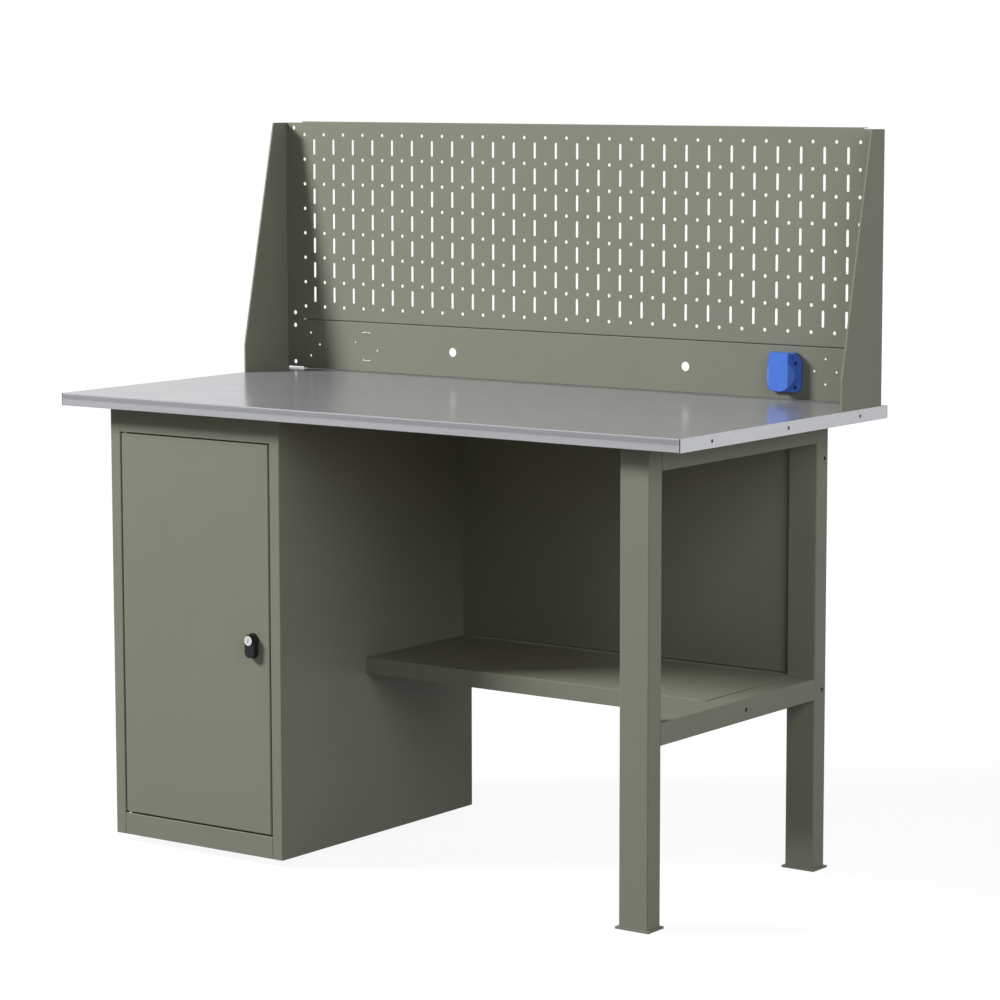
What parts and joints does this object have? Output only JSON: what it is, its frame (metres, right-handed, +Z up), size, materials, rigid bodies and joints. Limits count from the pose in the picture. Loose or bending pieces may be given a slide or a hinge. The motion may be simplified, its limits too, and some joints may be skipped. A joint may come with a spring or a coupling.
{
  "type": "workbench",
  "caption": "Steel workbench with a clad worktop on a lockable cabinet and a leg frame, a lower shelf, a back panel and a perforated tool screen with a lidded socket.",
  "frame": {"origin": "on the floor under the middle of the worktop", "axes": "+X to the right, +Y to the back, +Z up"},
  "size_m": [1.4, 0.7, 1.37],
  "materials": {
    "powder_coat": "fine matt texture",
    "galvanised_sheet": "satin galvanised",
    "board_wood": "raw chipboard",
    "zinc_plated_steel": "satin zinc plate",
    "black_screw": "satin black",
    "black_plastic": "fine matt",
    "chrome_plate": "polished",
    "pale_nylon": "plain",
    "blue_plastic": "semi-gloss",
    "grey_insert": "plain",
    "brass_contact": "bright",
    "seal_rubber": "plain"
  },
  "bodies": {
    "bench": {"front_leg": "powder_coat", "rear_leg": "powder_coat", "front_leg_foot": "powder_coat", "rear_leg_foot": "powder_coat", "upper_crossbar": "powder_coat", "lower_crossbar": "powder_coat", "lower_shelf": "powder_coat", "back_panel": "powder_coat", "cabinet_left_side": "powder_coat", "cabinet_right_side": "powder_coat", "cabinet_top_rail": "powder_coat", "cabinet_plinth": "powder_coat", "cabinet_floor": "powder_coat", "cabinet_back": "powder_coat", "cabinet_top": "powder_coat", "cabinet_shelf": "powder_coat", "front_foot_rail": "powder_coat", "rear_foot_rail": "powder_coat", "left_screen_bracket": "powder_coat", "right_screen_bracket": "powder_coat", "perforated_panel": "powder_coat", "socket_strip": "powder_coat", "worktop_cladding": "galvanised_sheet", "left_end_strip": "galvanised_sheet", "right_end_strip": "galvanised_sheet", "worktop_board": "board_wood", "worktop_screws": "zinc_plated_steel", "shelf_bolts": "zinc_plated_steel", "back_panel_bolts": "zinc_plated_steel", "shelf_pegs": "zinc_plated_steel", "earth_clips": "zinc_plated_steel", "lid_pin": "zinc_plated_steel", "socket_screws": "zinc_plated_steel", "end_strip_screws": "black_screw", "cabinet_feet": "black_plastic", "upper_hinge_bush": "pale_nylon", "lower_hinge_bush": "pale_nylon", "socket_housing": "blue_plastic", "socket_insert": "grey_insert", "socket_contacts": "brass_contact", "socket_gasket": "seal_rubber"},
    "door": {"door_panel": "powder_coat", "upper_hinge_pin": "zinc_plated_steel", "lower_hinge_pin": "zinc_plated_steel", "lock_body": "black_plastic", "lock_nut": "zinc_plated_steel"},
    "lock": {"lock_plug": "chrome_plate", "lock_cam": "zinc_plated_steel", "cam_screw": "zinc_plated_steel"},
    "lid": {"socket_lid": "blue_plastic"}
  },
  "joints": [
    {"name": "door_swing", "type": "hinge", "parent": "bench", "child": "door", "pos_m": [-0.579, -0.304, 0.4255], "axis": [0, 0, -1], "range_deg": [0, 110]},
    {"name": "lock_turn", "type": "hinge", "parent": "door", "child": "lock", "pos_m": [-0.265, -0.32, 0.4255], "axis": [0, -1, 0], "range_deg": [0, 90]},
    {"name": "lid_flip", "type": "hinge", "parent": "bench", "child": "lid", "pos_m": [0.4975, 0.3126, 0.9505], "axis": [-1, 0, 0], "range_deg": [0, 90], "stiffness_Nm_per_rad": 0.02, "springref_deg": -28.65}
  ]
}
